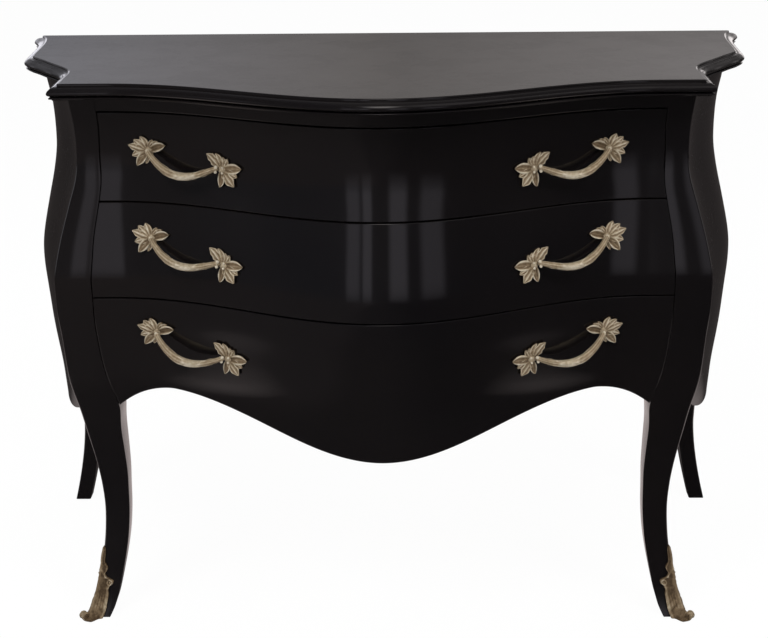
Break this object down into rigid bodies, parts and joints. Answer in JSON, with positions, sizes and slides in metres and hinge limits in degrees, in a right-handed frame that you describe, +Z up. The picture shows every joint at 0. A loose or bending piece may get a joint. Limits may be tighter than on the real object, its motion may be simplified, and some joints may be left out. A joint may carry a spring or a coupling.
{
  "type": "commode chest of drawers",
  "caption": "Black-lacquered bombe commode with a serpentine front of sliding drawers, a moulded overhanging top, cabriole legs, leaf-cast brass pulls and brass foot shoes.",
  "frame": {"origin": "on the floor, under the centre of the chest's bounding box", "axes": "+X to the chest's width, towards the right as seen from the front; -Y out of the drawers' fronts; +Z up"},
  "size_m": [1.2072, 0.552, 0.88],
  "materials": {
    "black_lacquer": "high gloss black lacquer on wood",
    "bare_wood": "unfinished oak or beech, waxed",
    "antique_brass": "cast, antiqued, worn bright on the high places",
    "screw_steel": "plain steel"
  },
  "bodies": {
    "carcase": {"top_board": "black_lacquer", "front_left_post": "black_lacquer", "front_right_post": "black_lacquer", "back_left_post": "black_lacquer", "back_right_post": "black_lacquer", "left_side_panel": "black_lacquer", "right_side_panel": "black_lacquer", "back_panel": "bare_wood", "frieze_rail": "black_lacquer", "upper_drawer_rail": "bare_wood", "upper_dust_board": "bare_wood", "lower_drawer_rail": "bare_wood", "lower_dust_board": "bare_wood", "bottom_rail": "bare_wood", "bottom_board": "bare_wood", "upper_left_runner": "bare_wood", "upper_right_runner": "bare_wood", "middle_left_runner": "bare_wood", "middle_right_runner": "bare_wood", "bottom_left_runner": "bare_wood", "bottom_right_runner": "bare_wood", "left_kicker": "bare_wood", "right_kicker": "bare_wood", "left_foot_shoe": "antique_brass", "right_foot_shoe": "antique_brass"},
    "upper_drawer": {"upper_drawer_front": "black_lacquer", "upper_drawer_left_side": "bare_wood", "upper_drawer_right_side": "bare_wood", "upper_drawer_back": "bare_wood", "upper_drawer_bottom": "bare_wood", "upper_drawer_left_pull": "antique_brass", "upper_drawer_right_pull": "antique_brass", "upper_drawer_left_outer_screw": "screw_steel", "upper_drawer_left_inner_screw": "screw_steel", "upper_drawer_right_inner_screw": "screw_steel", "upper_drawer_right_outer_screw": "screw_steel"},
    "middle_drawer": {"middle_drawer_front": "black_lacquer", "middle_drawer_left_side": "bare_wood", "middle_drawer_right_side": "bare_wood", "middle_drawer_back": "bare_wood", "middle_drawer_bottom": "bare_wood", "middle_drawer_left_pull": "antique_brass", "middle_drawer_right_pull": "antique_brass", "middle_drawer_left_outer_screw": "screw_steel", "middle_drawer_left_inner_screw": "screw_steel", "middle_drawer_right_inner_screw": "screw_steel", "middle_drawer_right_outer_screw": "screw_steel"},
    "lower_drawer": {"lower_drawer_front": "black_lacquer", "lower_drawer_left_side": "bare_wood", "lower_drawer_right_side": "bare_wood", "lower_drawer_back": "bare_wood", "lower_drawer_bottom": "bare_wood", "lower_drawer_left_pull": "antique_brass", "lower_drawer_right_pull": "antique_brass", "lower_drawer_left_outer_screw": "screw_steel", "lower_drawer_left_inner_screw": "screw_steel", "lower_drawer_right_inner_screw": "screw_steel", "lower_drawer_right_outer_screw": "screw_steel"}
  },
  "joints": [
    {"name": "upper_drawer_slide", "type": "slide", "parent": "carcase", "child": "upper_drawer", "axis": [0, -1, 0], "range_m": [0, 0.26]},
    {"name": "middle_drawer_slide", "type": "slide", "parent": "carcase", "child": "middle_drawer", "axis": [0, -1, 0], "range_m": [0, 0.26]},
    {"name": "lower_drawer_slide", "type": "slide", "parent": "carcase", "child": "lower_drawer", "axis": [0, -1, 0], "range_m": [0, 0.26]}
  ]
}
